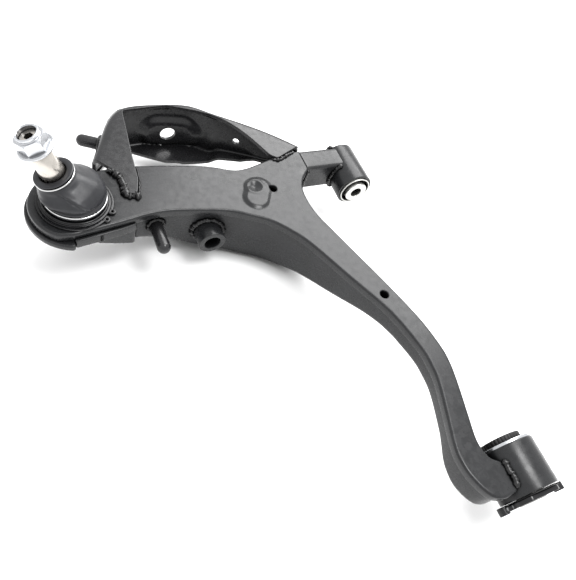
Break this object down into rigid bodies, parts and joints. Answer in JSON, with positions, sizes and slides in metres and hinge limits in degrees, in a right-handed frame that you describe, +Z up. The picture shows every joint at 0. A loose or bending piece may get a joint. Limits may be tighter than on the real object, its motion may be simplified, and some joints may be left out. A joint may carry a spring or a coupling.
{
  "type": "suspension control arm",
  "caption": "Lower control arm for a front suspension: a welded box arm with a rear leg, two pivot bushes on one axis, a damper bracket and a ball joint.",
  "frame": {"origin": "centre of the front bush, on the axis that the arm swings about", "axes": "+X outboard from the pivot axis to the ball joint, +Y along the pivot axis from the front bush to the rear bush, +Z up, as the flat top plate faces"},
  "size_m": [0.434, 0.5706, 0.177],
  "materials": {
    "black_paint": "satin black",
    "painted_weld": "glossy black over a rough bead",
    "joint_coating": "glossy black",
    "zinc_plating": "bright zinc",
    "stud_steel": "turned",
    "clip_wire": "drawn wire",
    "boot_rubber": "satin",
    "bush_rubber": "matte",
    "seat_plastic": "natural"
  },
  "bodies": {
    "arm": {"upper_shell": "black_paint", "lower_shell": "black_paint", "ball_joint_carrier": "black_paint", "side_strap": "black_paint", "front_stub": "black_paint", "front_bush_housing": "black_paint", "front_bush_outer_sleeve": "zinc_plating", "front_bush_rubber": "bush_rubber", "rear_bush_housing": "black_paint", "rear_bush_outer_sleeve": "zinc_plating", "rear_bush_rubber": "bush_rubber", "ball_joint_housing": "joint_coating", "ball_joint_cover": "joint_coating", "ball_joint_seat": "seat_plastic", "ball_joint_circlip": "joint_coating", "boot_lower_clip": "clip_wire", "damper_bracket": "black_paint", "damper_bolt_tube": "black_paint", "near_peg": "black_paint", "far_peg": "black_paint", "weld_bracket_leg": "painted_weld", "weld_bracket_root": "painted_weld", "weld_stub": "painted_weld", "weld_front_housing": "painted_weld", "weld_rear_housing": "painted_weld", "weld_tube": "painted_weld", "weld_near_peg": "painted_weld", "weld_far_peg": "painted_weld"},
    "boot_swivel": {"dust_boot": "boot_rubber"},
    "stud_tilt": {"boot_upper_clip": "clip_wire"},
    "stud": {"ball_stud": "stud_steel", "stud_nut": "zinc_plating"},
    "front_pivot": {"front_bush_inner_sleeve": "zinc_plating"},
    "rear_pivot": {"rear_bush_inner_sleeve": "zinc_plating", "rear_bush_snubber": "bush_rubber", "rear_bush_stop_plate": "black_paint"}
  },
  "joints": [
    {"name": "boot_swivel", "type": "hinge", "parent": "arm", "child": "boot_swivel", "pos_m": [0.342, 0.012, 0.016], "axis": [0, 0, 1], "continuous": true},
    {"name": "stud_tilt", "type": "hinge", "parent": "boot_swivel", "child": "stud_tilt", "pos_m": [0.342, 0.012, 0.016], "axis": [0.2419, 0.9703, 0], "range_deg": [-47, 2.5], "deforming": ["dust_boot"]},
    {"name": "stud_spin", "type": "hinge", "parent": "stud_tilt", "child": "stud", "pos_m": [0.342, 0.012, 0.016], "axis": [0.3697, -0.0922, 0.9245], "continuous": true},
    {"name": "front_pivot", "type": "hinge", "parent": "arm", "child": "front_pivot", "pos_m": [0, 0, 0], "axis": [0, 1, 0], "range_deg": [-20, 20], "stiffness_Nm_per_rad": 1},
    {"name": "rear_pivot", "type": "hinge", "parent": "arm", "child": "rear_pivot", "pos_m": [0, 0.411, 0], "axis": [0, 1, 0], "range_deg": [-20, 20], "stiffness_Nm_per_rad": 1}
  ]
}
